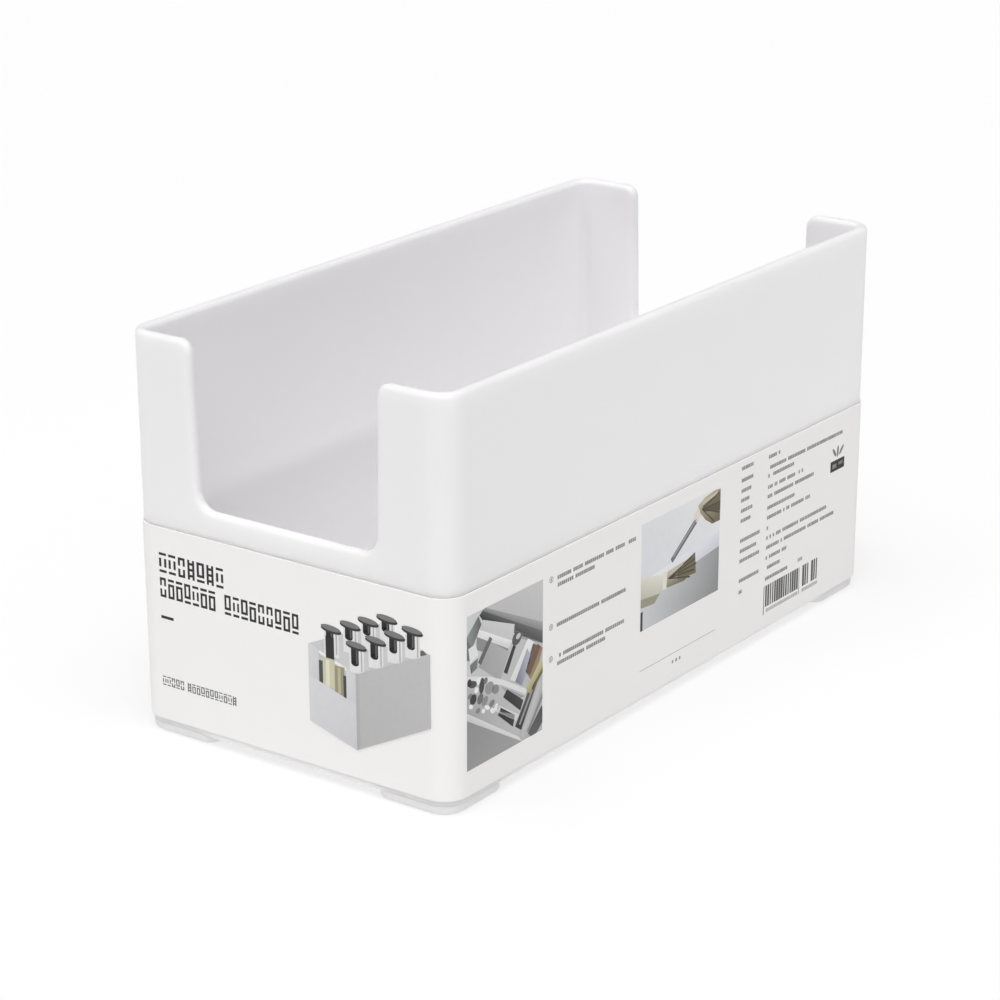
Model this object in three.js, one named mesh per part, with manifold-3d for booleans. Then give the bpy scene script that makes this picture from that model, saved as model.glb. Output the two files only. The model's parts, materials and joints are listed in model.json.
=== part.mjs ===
// A small open drawer organizer bin on four foot pads, with a card sleeve round its lower half.
// Millimetres, +Z up. The origin is on the floor below the bin's centre. The front end faces -Y.

import * as THREE from 'three';
import { mergeVertices } from 'three/addons/utils/BufferGeometryUtils.js';
import Module from 'manifold-3d';

const wasm = await Module();
wasm.setup();

// Driving dimensions of the bin, measured over the rim.
const WIDTH = 70;
const LENGTH = 140;
const HEIGHT = 75;
const WALL = 2.2;
const FLOOR = 2.0;
const DRAFT_ANGLE = THREE.MathUtils.degToRad(0.25);
const CORNER_RADIUS = 4.75;
const EDGE_RADIUS = 1.05;
const INNER_FLOOR_RADIUS = 2.0;

// The U-shaped notch, the same in both end walls.
const NOTCH_TOP_HALF_WIDTH = 20.2;
const NOTCH_BOTTOM_HALF_WIDTH = 19.7;
const NOTCH_BOTTOM = 44.6;
const NOTCH_INNER_RADIUS = 3.5;
const NOTCH_LIP_RADIUS = 2.6;

// The foot pads, square with one corner that follows the bin's corner.
const PAD_HEIGHT = 1.25;
const PAD_SIDE = 15.2;
const PAD_INSET = 1.6;
const PAD_OUTER_RADIUS = 3.4;
const PAD_INNER_RADIUS = 2.8;

// The card sleeve: a straight band with just enough room to pass over the rim.
const SLEEVE_BOTTOM = 2.7;
const SLEEVE_HEIGHT = 36.7;
const SLEEVE_SLACK = 0.05;
const CARD_THICKNESS = 0.24;

// How finely round shapes are cut: ExtrudeGeometry makes twice this many flats on each quarter turn.
const CURVE_SEGMENTS = 4;
const EDGE_SEGMENTS = 3;
const MOUTH_STEPS = 6;

// How far a cutter reaches past the surface that it cuts.
const OVERCUT = 3;
const MOUTH_OVERCUT = 0.5;

const whitePlastic = new THREE.MeshStandardMaterial({
  color: 0xe9e8ea,
  roughness: 0.42,
  metalness: 0,
});
const greyElastomer = new THREE.MeshStandardMaterial({
  color: 0xc9c9ca,
  roughness: 0.75,
  metalness: 0,
});
const printedCard = new THREE.MeshStandardMaterial({
  color: 0xf0f0ee,
  roughness: 0.6,
  metalness: 0,
});

// A rectangle whose corners have radii of their own, counter-clockwise from the +X +Y corner.
function roundedRectangle(xMin, xMax, yMin, yMax, radii) {
  const corners = [
    [xMax, yMax],
    [xMin, yMax],
    [xMin, yMin],
    [xMax, yMin],
  ];
  const shape = new THREE.Shape();
  corners.forEach(([x, y], turn) => {
    const radius = radii[turn];
    const centreX = x - Math.sign(x - (xMin + xMax) / 2) * radius;
    const centreY = y - Math.sign(y - (yMin + yMax) / 2) * radius;
    const start = (turn * Math.PI) / 2;
    shape.absarc(centreX, centreY, radius, start, start + Math.PI / 2);
  });
  shape.closePath();
  return shape;
}

// The outline of the bin's outside at the rim, moved inwards by a distance.
function binOutline(inwards) {
  const halfWidth = WIDTH / 2 - inwards;
  const halfLength = LENGTH / 2 - inwards;
  const radius = CORNER_RADIUS - inwards;
  const radii = [radius, radius, radius, radius];
  return roundedRectangle(-halfWidth, halfWidth, -halfLength, halfLength, radii);
}

// An upright block of an outline between two heights, with its end edges rounded.
function uprightBlock(outline, bottom, top, edgeRadius) {
  const block = new THREE.ExtrudeGeometry(outline, {
    depth: top - bottom - 2 * edgeRadius,
    curveSegments: CURVE_SEGMENTS,
    bevelEnabled: edgeRadius > 0,
    bevelThickness: edgeRadius,
    bevelSize: edgeRadius,
    bevelOffset: -edgeRadius,
    bevelSegments: EDGE_SEGMENTS,
  });
  return block.translate(0, 0, bottom + edgeRadius);
}

// Moves every vertex away from the bin's middle by a distance that depends on its height.
function spread(geometry, distanceAt) {
  const position = geometry.getAttribute('position');
  for (let i = 0; i < position.count; i += 1) {
    const distance = distanceAt(position.getZ(i));
    position.setX(i, position.getX(i) + Math.sign(position.getX(i)) * distance);
    position.setY(i, position.getY(i) + Math.sign(position.getY(i)) * distance);
  }
  return geometry;
}

// The moulding draft: the walls lean inwards, more and more below the rim.
function draftAt(z) {
  return (z - HEIGHT) * Math.tan(DRAFT_ANGLE);
}

function toSolid(geometry) {
  const bare = geometry.clone();
  bare.deleteAttribute('normal');
  bare.deleteAttribute('uv');
  const merged = mergeVertices(bare, 1e-4);
  const mesh = new wasm.Mesh({
    numProp: 3,
    vertProperties: new Float32Array(merged.getAttribute('position').array),
    triVerts: new Uint32Array(merged.getIndex().array),
  });
  return new wasm.Manifold(mesh);
}

function toGeometry(solid) {
  const mesh = solid.getMesh();
  const geometry = new THREE.BufferGeometry();
  geometry.setAttribute('position', new THREE.BufferAttribute(mesh.vertProperties, 3));
  geometry.setIndex(new THREE.BufferAttribute(mesh.triVerts, 1));
  geometry.computeVertexNormals();
  return geometry;
}

// The rounded inner edge of the rim, as a cutter that flares out to the top of the wall.
function mouthCutter() {
  const cutter = new THREE.ExtrudeGeometry(binOutline(WALL), {
    depth: EDGE_RADIUS + MOUTH_OVERCUT,
    steps: MOUTH_STEPS,
    curveSegments: CURVE_SEGMENTS,
    bevelEnabled: false,
  });
  cutter.translate(0, 0, HEIGHT - EDGE_RADIUS);
  return spread(cutter, (z) => {
    const rise = Math.min(z - (HEIGHT - EDGE_RADIUS), EDGE_RADIUS);
    return draftAt(z) + EDGE_RADIUS - Math.sqrt(EDGE_RADIUS ** 2 - rise ** 2);
  });
}

// One cutter runs through both end walls: a U with round inner corners and rounded lips at the rim.
function notchCutter() {
  const sideLean = Math.atan2(
    NOTCH_TOP_HALF_WIDTH - NOTCH_BOTTOM_HALF_WIDTH,
    HEIGHT - NOTCH_BOTTOM,
  );
  const lipX = NOTCH_TOP_HALF_WIDTH + NOTCH_LIP_RADIUS;
  const lipZ = HEIGHT - NOTCH_LIP_RADIUS;
  const innerX = NOTCH_BOTTOM_HALF_WIDTH - NOTCH_INNER_RADIUS;
  const innerZ = NOTCH_BOTTOM + NOTCH_INNER_RADIUS;
  const outline = new THREE.Shape();
  outline.moveTo(lipX, HEIGHT + OVERCUT);
  outline.lineTo(-lipX, HEIGHT + OVERCUT);
  outline.absarc(-lipX, lipZ, NOTCH_LIP_RADIUS, Math.PI / 2, sideLean, true);
  outline.absarc(-innerX, innerZ, NOTCH_INNER_RADIUS, Math.PI + sideLean, 1.5 * Math.PI);
  outline.absarc(innerX, innerZ, NOTCH_INNER_RADIUS, -Math.PI / 2, -sideLean);
  outline.absarc(lipX, lipZ, NOTCH_LIP_RADIUS, Math.PI - sideLean, Math.PI / 2, true);
  outline.closePath();
  const cutter = new THREE.ExtrudeGeometry(outline, {
    depth: LENGTH + 2 * OVERCUT,
    curveSegments: CURVE_SEGMENTS,
    bevelEnabled: false,
  });
  cutter.rotateX(Math.PI / 2);
  return cutter.translate(0, LENGTH / 2 + OVERCUT, 0);
}

function makeBinShell() {
  const outside = uprightBlock(binOutline(0), PAD_HEIGHT, HEIGHT, EDGE_RADIUS);
  const inside = uprightBlock(
    binOutline(WALL),
    PAD_HEIGHT + FLOOR,
    HEIGHT + OVERCUT,
    INNER_FLOOR_RADIUS,
  );
  const solid = toSolid(spread(outside, draftAt))
    .subtract(toSolid(spread(inside, draftAt)))
    .subtract(toSolid(mouthCutter()))
    .subtract(toSolid(notchCutter()));
  const mesh = new THREE.Mesh(toGeometry(solid), whitePlastic);
  mesh.name = 'bin_shell';
  return mesh;
}

// sideX is -1 for left and 1 for right, sideY is -1 for front and 1 for rear.
function makeFootPad(name, sideX, sideY) {
  const radii = [
    [1, 1],
    [-1, 1],
    [-1, -1],
    [1, -1],
  ].map(([x, y]) => (x === sideX && y === sideY ? PAD_OUTER_RADIUS : PAD_INNER_RADIUS));
  const half = PAD_SIDE / 2;
  const outline = roundedRectangle(-half, half, -half, half, radii);
  const mesh = new THREE.Mesh(uprightBlock(outline, 0, PAD_HEIGHT, 0), greyElastomer);
  mesh.position.set(
    sideX * (WIDTH / 2 - PAD_INSET - half),
    sideY * (LENGTH / 2 - PAD_INSET - half),
    0,
  );
  mesh.name = name;
  return mesh;
}

function makeCardSleeve() {
  const band = binOutline(-SLEEVE_SLACK - CARD_THICKNESS);
  band.holes.push(binOutline(-SLEEVE_SLACK));
  const geometry = uprightBlock(band, SLEEVE_BOTTOM, SLEEVE_BOTTOM + SLEEVE_HEIGHT, 0);
  const mesh = new THREE.Mesh(geometry, printedCard);
  mesh.name = 'card_sleeve';
  return mesh;
}

const organizer = new THREE.Group();
organizer.add(makeBinShell());
organizer.add(makeFootPad('foot_pad_front_left', -1, -1));
organizer.add(makeFootPad('foot_pad_front_right', 1, -1));
organizer.add(makeFootPad('foot_pad_rear_left', -1, 1));
organizer.add(makeFootPad('foot_pad_rear_right', 1, 1));
organizer.add(makeCardSleeve());

export default organizer;
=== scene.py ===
"""A small white drawer organizer bin with four foot pads and a printed card sleeve, as an add-on."""

import json
import math

import bmesh
import bpy
from bpy.props import FloatProperty, FloatVectorProperty, IntProperty, PointerProperty
from bpy.types import Operator, Panel, PropertyGroup
from mathutils import Matrix, Vector

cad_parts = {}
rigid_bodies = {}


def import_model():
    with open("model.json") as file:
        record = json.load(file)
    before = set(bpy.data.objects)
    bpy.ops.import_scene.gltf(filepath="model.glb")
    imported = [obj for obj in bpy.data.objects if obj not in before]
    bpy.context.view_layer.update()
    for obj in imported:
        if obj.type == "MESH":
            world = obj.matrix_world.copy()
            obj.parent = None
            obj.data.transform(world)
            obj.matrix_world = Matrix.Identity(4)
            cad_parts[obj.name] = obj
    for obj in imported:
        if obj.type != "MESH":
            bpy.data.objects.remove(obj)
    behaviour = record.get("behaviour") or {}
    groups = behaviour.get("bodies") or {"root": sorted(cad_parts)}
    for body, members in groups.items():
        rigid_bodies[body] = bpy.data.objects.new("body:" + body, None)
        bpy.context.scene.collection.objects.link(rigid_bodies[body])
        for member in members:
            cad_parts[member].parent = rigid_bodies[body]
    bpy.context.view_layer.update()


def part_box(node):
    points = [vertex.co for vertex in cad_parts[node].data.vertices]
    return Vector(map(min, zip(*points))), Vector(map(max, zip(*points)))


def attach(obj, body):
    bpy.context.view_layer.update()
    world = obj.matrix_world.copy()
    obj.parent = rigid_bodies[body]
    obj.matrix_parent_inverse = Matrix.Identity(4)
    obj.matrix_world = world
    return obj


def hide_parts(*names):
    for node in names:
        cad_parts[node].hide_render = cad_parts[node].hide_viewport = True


bl_info = {
    "name": "Drawer organizer bin",
    "version": (1, 0, 0),
    "blender": (4, 5, 0),
    "location": "3D View > Sidebar > Organizer",
    "description": "Builds a notched drawer organizer bin, its foot pads and its printed card sleeve",
    "category": "Object",
}

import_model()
BIN_LOW, BIN_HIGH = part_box("bin_shell")
SLEEVE_LOW, SLEEVE_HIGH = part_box("card_sleeve")

MM = 0.001
BIN_BODY = "bin"
SLEEVE_BODY = "sleeve"
# How finely each rounding is drawn.
CORNER_STEPS = 20
FILLET_STEPS = 8
NOTCH_ARC_STEPS = 10
PAD_EDGE_STEPS = 4
PAD_CORNER_STEPS = 8
RAMP_STEPS = 6
# The inner ring of a flat face, as a share of the face's own outline.
FLAT_SHARE = 0.85
# Edges that turn by more than this stay sharp.
SHARP_ANGLE = math.radians(40)
# The corners of a rectangle, counter-clockwise from the rear right one.
SIDES = ((1, 1), (-1, 1), (-1, -1), (1, -1))
PAD_CORNERS = {
    "foot_pad_front_left": (-1, -1),
    "foot_pad_front_right": (1, -1),
    "foot_pad_rear_left": (-1, 1),
    "foot_pad_rear_right": (1, 1),
}


# ---------------------------------------------------------------- sizes and colours


def length(name, description, default):
    """A length property in metres."""
    return FloatProperty(name=name, description=description, default=default, min=0.0,
                         unit="LENGTH", precision=5)


def colour(name, description, default):
    """A colour property, as linear red, green and blue."""
    return FloatVectorProperty(name=name, description=description, default=default, min=0.0,
                               max=1.0, size=3, subtype="COLOR")


def turning(name, description, degrees):
    """An angle property, given in degrees."""
    return FloatProperty(name=name, description=description, default=math.radians(degrees),
                         subtype="ANGLE")


def amount(name, description, default):
    """A plain number from nothing upwards."""
    return FloatProperty(name=name, description=description, default=default, min=0.0,
                         subtype="FACTOR", soft_max=2.0)


class BinSettings(PropertyGroup):
    """Sizes of the moulded bin."""

    width: length("Width", "Across the rim, left to right", BIN_HIGH.x - BIN_LOW.x)
    depth: length("Length", "Along the rim, front to rear", BIN_HIGH.y - BIN_LOW.y)
    rim_height: length("Rim height", "From the ground to the rim", BIN_HIGH.z)
    underside: length("Underside", "From the ground to the underside", BIN_LOW.z)
    wall: length("Wall", "Thickness of the walls", 2.2 * MM)
    floor: length("Floor", "Thickness of the floor", 2.0 * MM)
    corner_radius: length("Corner radius", "Upright outer corners", 4.75 * MM)
    rim_radius: length("Rim radius", "Rounding of every rim and notch edge", 1.0 * MM)
    base_radius: length("Base radius", "Rounding under the walls", 1.35 * MM)
    inner_radius: length("Inner radius", "Rounding where walls meet the floor", 2.0 * MM)
    draft: turning("Draft", "How far the walls lean in towards the base", 0.25)
    notch_top: length("Notch top", "Half width of the notch at the rim", 20.2 * MM)
    notch_bottom: length("Notch bottom", "Half width of the notch at its foot", 19.7 * MM)
    notch_height: length("Notch height", "From the ground to the notch's lower edge", 44.6 * MM)
    notch_radius: length("Notch radius", "Lower corners of the notch", 3.5 * MM)
    lip_radius: length("Lip radius", "Where the notch runs out into the rim", 2.6 * MM)
    plastic: colour("Plastic", "Colour of the moulding", (0.938, 0.916, 0.945))
    depth_of_light: length("Depth of light", "How far light spreads inside the moulding", 3.4 * MM)


class PadSettings(PropertyGroup):
    """Sizes of the foot pads."""

    edge: length("Edge", "Rounding of the pad's lower edge", 0.95 * MM)
    spread: length("Spread", "How far the soft pad bulges out past its seat, toward the walls", 1.0 * MM)
    seat: length("Seat", "How far the pad reaches up round the bin's lower edge", 1.0 * MM)
    outer_radius: length("Outer radius", "The corner that follows the bin's corner", 4.2 * MM)
    inner_radius: length("Inner radius", "The other three corners", 2.8 * MM)
    elastomer: colour("Elastomer", "Colour of the pads", (0.91, 0.91, 0.915))


class SleeveSettings(PropertyGroup):
    """Sizes of the card sleeve and the colours of its print."""

    grip: length("Grip", "How far the card's upper edge lies inside the rim's outline", 0.15 * MM)
    taper: length("Taper", "How much further in the card's lower edge lies", 0.16 * MM)
    card: length("Card", "Thickness of the card", 0.24 * MM)
    lap: length("Lap", "Width of the glued lap", 12.0 * MM)
    glue: length("Glue", "Thickness of the glue under the lap", 0.03 * MM)
    ramp: length("Ramp", "How far the card takes to step up onto the lap", 3.0 * MM)
    lap_place: length("Lap place", "How far behind the middle the lap begins", 50.0 * MM)
    tilt: turning("Tilt", "How much lower the sleeve sits at its rear", 0.22)
    ink: length("Ink", "Height of one layer of print above the card", 0.005 * MM)
    paper: colour("Card colour", "Colour of the bare card", (0.985, 0.97, 0.965))
    dark: colour("Dark ink", "Colour of the headline", (0.014, 0.014, 0.016))
    grey: colour("Grey ink", "Colour of the small print", (0.28, 0.28, 0.28))
    seed: IntProperty(name="Seed", description="Seed of the printed marks", default=7, min=0)


class StageSettings(PropertyGroup):
    """The camera, the light and the floor."""

    lens: FloatProperty(name="Lens", description="Focal length", default=109.55, unit="CAMERA")
    sensor: FloatProperty(name="Sensor", description="Width of the sensor", default=36.0, unit="CAMERA")
    azimuth: turning("Azimuth", "How far round to the right the camera stands", 35.907)
    pitch: turning("Pitch", "How far the camera looks down", 19.346)
    roll: turning("Roll", "Turn about the line of sight", -0.113)
    place: FloatVectorProperty(name="Camera place", description="Where the camera stands",
                               default=(0.314939, -0.442261, 0.221156), subtype="TRANSLATION")
    floor_size: length("Floor", "Side of the square floor", 12.0)
    floor_colour: colour("Floor colour", "Colour of the floor", (0.38, 0.38, 0.38))
    floor_glow: amount("Floor glow", "Light given off by the lit floor", 0.57)
    sky: amount("Sky", "Strength of the even light from all round", 0.03)
    sky_colour: colour("Sky colour", "Colour of the even light", (1.0, 1.0, 1.0))
    right_light: amount("Right light", "Strength of the high light on the right", 1.22)
    front_light: amount("Front light", "Strength of the high light in front", 1.2)
    left_light: amount("Left light", "Strength of the light on the left", 0.35)
    top_light: amount("Top light", "Strength of the light overhead", 1.12)
    softbox: turning("Softbox", "How wide each light looks", 60.0)


# ---------------------------------------------------------------- meshes


def add_object(name, data):
    """A new object in the scene that shows the given mesh, lamp or camera."""
    made = bpy.data.objects.new(name, data)
    bpy.context.scene.collection.objects.link(made)
    return made


def link(name, mesh, material, body, replaces=()):
    """Puts a finished mesh in the scene as a piece that rides on a body."""
    piece = add_object(name, mesh)
    mesh.materials.append(material)
    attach(piece, body)
    if replaces:
        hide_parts(*replaces)
    return piece


def baked_mesh(holder):
    """The mesh that an object's modifiers make; the object itself is taken away."""
    graph = bpy.context.evaluated_depsgraph_get()
    mesh = bpy.data.meshes.new_from_object(holder.evaluated_get(graph))
    bpy.data.objects.remove(holder)
    return mesh


def ringed_mesh(name, rings):
    """A closed mesh skinned over rings of the same number of points, with both ends capped."""
    mesh = bpy.data.meshes.new(name)
    count = len(rings[0])
    points = [tuple(point) for ring in rings for point in ring]
    faces = []
    for row in range(len(rings) - 1):
        low, high = row * count, (row + 1) * count
        for i in range(count):
            j = (i + 1) % count
            faces.append((low + i, low + j, high + j, high + i))
    faces.append(tuple(reversed(range(count))))
    faces.append(tuple((len(rings) - 1) * count + i for i in range(count)))
    mesh.from_pydata(points, [], faces)
    mesh.update()
    return mesh


def smooth(mesh):
    """Smooth shading in which large flat faces keep their own normals."""
    mesh.shade_smooth()
    mesh.set_sharp_from_angle(angle=SHARP_ANGLE)
    holder = add_object("smoothing", mesh)
    weighted = holder.modifiers.new("weighted", "WEIGHTED_NORMAL")
    weighted.keep_sharp = True
    baked = baked_mesh(holder)
    baked.name = mesh.name
    return baked


def quarter(steps):
    """Angles from nothing to a quarter turn."""
    return [math.pi / 2 * i / steps for i in range(steps + 1)]


def outline_stations(half_x, half_y, radius):
    """Points and outward normals round a rounded rectangle, counter-clockwise from the right side."""
    stations = []
    for turn, (side_x, side_y) in enumerate(SIDES):
        centre = Vector((side_x * (half_x - radius), side_y * (half_y - radius)))
        for angle in quarter(CORNER_STEPS):
            turned = angle + turn * math.pi / 2
            normal = Vector((math.cos(turned), math.sin(turned)))
            stations.append((centre + radius * normal, normal))
    return stations


# ---------------------------------------------------------------- the moulded bin


def notch_arc(centre, radius, start, turn, side):
    """One rounding of the notch: places round a centre, and the directions out of the wall there."""
    steps = [start + turn * i / NOTCH_ARC_STEPS for i in range(NOTCH_ARC_STEPS + 1)]
    outs = [Vector((math.cos(step), math.sin(step))) for step in steps]
    return [(Vector(centre) + radius * out, side * out) for out in outs]


def notch_profile(sizes):
    """The notch's edge from side to side: place along the wall, height, and the way out of the wall."""
    lean = math.atan2(sizes.notch_top - sizes.notch_bottom, sizes.rim_height - sizes.notch_height)
    lip = (-(sizes.notch_top + sizes.lip_radius), sizes.rim_height - sizes.lip_radius)
    foot = (-(sizes.notch_bottom - sizes.notch_radius), sizes.notch_height + sizes.notch_radius)
    half = (notch_arc(lip, sizes.lip_radius, math.pi / 2, lean - math.pi / 2, 1)
            + notch_arc(foot, sizes.notch_radius, math.pi + lean, math.pi / 2 - lean, -1))
    mirrored = [(Vector((-p.x, p.y)), Vector((-m.x, m.y))) for p, m in reversed(half)]
    return half + mirrored


class RimPoint:
    """One point of the bin's top edge: its place on the outline, and how the edge turns there."""

    def __init__(self, base, normal, height, along=0.0, up=1.0):
        self.base = base
        self.normal = normal
        self.height = height
        self.along = along
        self.up = up


def rim_points(sizes):
    """The bin's whole top edge, counter-clockwise, with a notch in the front and rear walls."""
    half_x, half_y = sizes.width / 2, sizes.depth / 2
    points = []
    stations = outline_stations(half_x, half_y, sizes.corner_radius)
    per_corner = CORNER_STEPS + 1
    for i, (base, normal) in enumerate(stations):
        points.append(RimPoint(base, normal, sizes.rim_height))
        if i in (per_corner - 1, 3 * per_corner - 1):
            side = 1 if i == per_corner - 1 else -1
            wall = Vector((0.0, side))
            for place, out in notch_profile(sizes):
                base_here = Vector((-side * place.x, side * half_y))
                points.append(RimPoint(base_here, wall, place.y, out.x, out.y))
    return points


def make_bin_mesh(sizes):
    """The bin as rings: underside, base rounding, outer wall, rim, inner wall, floor rounding, floor."""
    points = rim_points(sizes)
    lean = math.tan(sizes.draft)

    def at(point, inward, height, inset=0.0, from_edge=False):
        tangent = Vector((-point.normal.y, point.normal.x))
        z = point.height - point.up * inset if from_edge else height
        shift = (sizes.rim_height - z) * lean + inward
        flat = point.base - point.normal * shift - tangent * point.along * inset
        return Vector((flat.x, flat.y, z))

    rim_r, base_r, floor_r = sizes.rim_radius, sizes.base_radius, sizes.inner_radius
    floor_top = sizes.underside + sizes.floor
    rings = []
    # The columns below the edge stand under its inset line, so that each one is upright.
    for angle in quarter(FILLET_STEPS):
        inward = base_r * (1 - math.sin(angle))
        height = sizes.underside + base_r * (1 - math.cos(angle))
        rings.append([at(p, inward, height, rim_r) for p in points])
    for angle in quarter(FILLET_STEPS):
        inset = rim_r * (1 - math.sin(angle))
        rings.append([at(p, rim_r * (1 - math.cos(angle)), 0, inset, True) for p in points])
    for angle in reversed(quarter(FILLET_STEPS)):
        inset = rim_r * (1 - math.sin(angle))
        inward = sizes.wall - rim_r * (1 - math.cos(angle))
        rings.append([at(p, inward, 0, inset, True) for p in points])
    for angle in quarter(FILLET_STEPS):
        inward = sizes.wall + floor_r * (1 - math.cos(angle))
        height = floor_top + floor_r * (1 - math.sin(angle))
        rings.append([at(p, inward, height, rim_r) for p in points])
    # The flat underside and the flat floor each get an inner ring, so that they shade as flat.
    underside, floor = ([Vector((p.x * FLAT_SHARE, p.y * FLAT_SHARE, p.z)) for p in ring]
                        for ring in (rings[0], rings[-1]))
    rings = [underside, *rings, floor]
    return smooth(ringed_mesh("bin_shell_moulding", rings))


# ---------------------------------------------------------------- foot pads


def make_pad_mesh(name, sizes):
    """One foot pad with a rounded lower edge, in the place of its CAD solid."""
    low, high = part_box(name)
    side_x, side_y = PAD_CORNERS[name]
    centre = (low + high) / 2 + Vector((side_x, side_y, 0)) * sizes.spread / 2
    half = (high.x - low.x + sizes.spread) / 2
    rings = []
    levels = [(sizes.edge * (1 - math.sin(a)), low.z + sizes.edge * (1 - math.cos(a)))
              for a in quarter(PAD_EDGE_STEPS)]
    levels.append((0.0, high.z + sizes.seat))
    for inward, height in levels:
        ring = []
        for turn, (sx, sy) in enumerate(SIDES):
            outer = (sx, sy) == (side_x, side_y)
            radius = sizes.outer_radius if outer else sizes.inner_radius
            reach = radius - inward
            for angle in quarter(PAD_CORNER_STEPS):
                turned = angle + turn * math.pi / 2
                ring.append(Vector((centre.x + sx * (half - radius) + reach * math.cos(turned),
                                    centre.y + sy * (half - radius) + reach * math.sin(turned),
                                    height)))
        rings.append(ring)
    return smooth(ringed_mesh(name + "_pad", rings))


# ---------------------------------------------------------------- card sleeve


def sleeve_lift(y, settings):
    """How far the sleeve stands above its level place, because it sits a little lower at the rear."""
    return -y * math.tan(settings.tilt)


def card_inset(height, settings):
    """How far inside the rim's outline the card's inner face lies at a height, as the card leans in."""
    share = (SLEEVE_HIGH.z - height) / (SLEEVE_HIGH.z - SLEEVE_LOW.z)
    return settings.grip + settings.taper * share


def sleeve_path(sizes, settings):
    """The card's inner face from one end of the strip to the other: place, normal and outward step."""
    half_x, half_y, radius = sizes.width / 2, sizes.depth / 2, sizes.corner_radius
    stations = outline_stations(half_x, half_y, radius)
    per_corner = CORNER_STEPS + 1
    left = Vector((-1.0, 0.0))
    begin = Vector((-half_x, settings.lap_place))
    # Counter-clockwise from the lap on the left wall: down the left wall, front, right, rear, left.
    body = stations[2 * per_corner:] + stations[:2 * per_corner]
    path = [(begin, left, 0.0)]
    path += [(base, normal, 0.0) for base, normal in body]
    step = settings.card + settings.glue
    for part in range(RAMP_STEPS + 1):
        share = part / RAMP_STEPS
        eased = share * share * (3 - 2 * share)
        place = Vector((-half_x, settings.lap_place + settings.ramp * (1 - share)))
        path.append((place, left, step * eased))
    path.append((Vector((-half_x, settings.lap_place - settings.lap)), left, step))
    return path


def make_sleeve_mesh(sizes, settings):
    """The card strip, wrapped once round the bin and glued where its ends overlap."""
    rings = []
    for base, normal, step in sleeve_path(sizes, settings):
        ring = []
        for outward, height in (
            (0.0, SLEEVE_LOW.z),
            (settings.card, SLEEVE_LOW.z),
            (settings.card, SLEEVE_HIGH.z),
            (0.0, SLEEVE_HIGH.z),
        ):
            flat = base + normal * (step + outward - card_inset(height, settings))
            ring.append(Vector((flat.x, flat.y, height + sleeve_lift(base.y, settings))))
        rings.append(ring)
    mesh = ringed_mesh("card_sleeve_band", rings)
    work = bmesh.new()
    work.from_mesh(mesh)
    bmesh.ops.recalc_face_normals(work, faces=work.faces)
    work.to_mesh(mesh)
    work.free()
    return smooth(mesh)


# ---------------------------------------------------------------- nodes


def enabled(sockets, name=None):
    """The first socket of that name that is in use."""
    return next(s for s in sockets if s.enabled and name in (None, s.name))


def add_node(tree, kind, inputs=None, **options):
    """A new node with its options set, its inputs fed with values or with other nodes' outputs."""
    node = tree.nodes.new(kind)
    for name, value in options.items():
        setattr(node, name, value)
    for name, value in (inputs or {}).items():
        socket = node.inputs[name] if isinstance(name, int) else enabled(node.inputs, name)
        if isinstance(value, bpy.types.NodeSocket):
            tree.links.new(value, socket)
        else:
            socket.default_value = value
    return node


def add_sockets(tree, in_out, kind, *names):
    """New inputs or outputs of one kind on a node tree."""
    for name in names:
        tree.interface.new_socket(name, in_out=in_out, socket_type="NodeSocket" + kind)


def set_input(modifier, name, value):
    """Sets a node modifier's input by its socket's identifier."""
    for item in modifier.node_group.interface.items_tree:
        if item.item_type == "SOCKET" and item.in_out == "INPUT" and item.name == name:
            modifier[item.identifier] = value
            return
    raise KeyError(name)


# ---------------------------------------------------------------- print

ROW_TREE = "Row of printed marks"
INK_COLOURS = "ink"
# How a grey level turns into an ink: its curve, how brightly the card is lit, and the varnish's sheen.
GAMMA, LIT_SHARE, SHEEN = 2.2, 0.84, 0.035
DARKEST_INK, LIGHTEST_INK = 0.004, 0.95
ELLIPSE_STEPS, SPOT_STEPS = 18, 12


def ellipse_outline(x, z, radius_x, radius_z, turn=0.0, steps=ELLIPSE_STEPS):
    """Points round an ellipse about a middle, turned by an angle."""
    outline = []
    for i in range(steps):
        angle = 2 * math.pi * i / steps
        a, b = radius_x * math.cos(angle), radius_z * math.sin(angle)
        outline.append((x + a * math.cos(turn) - b * math.sin(turn),
                        z + a * math.sin(turn) + b * math.cos(turn)))
    return outline


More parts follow.
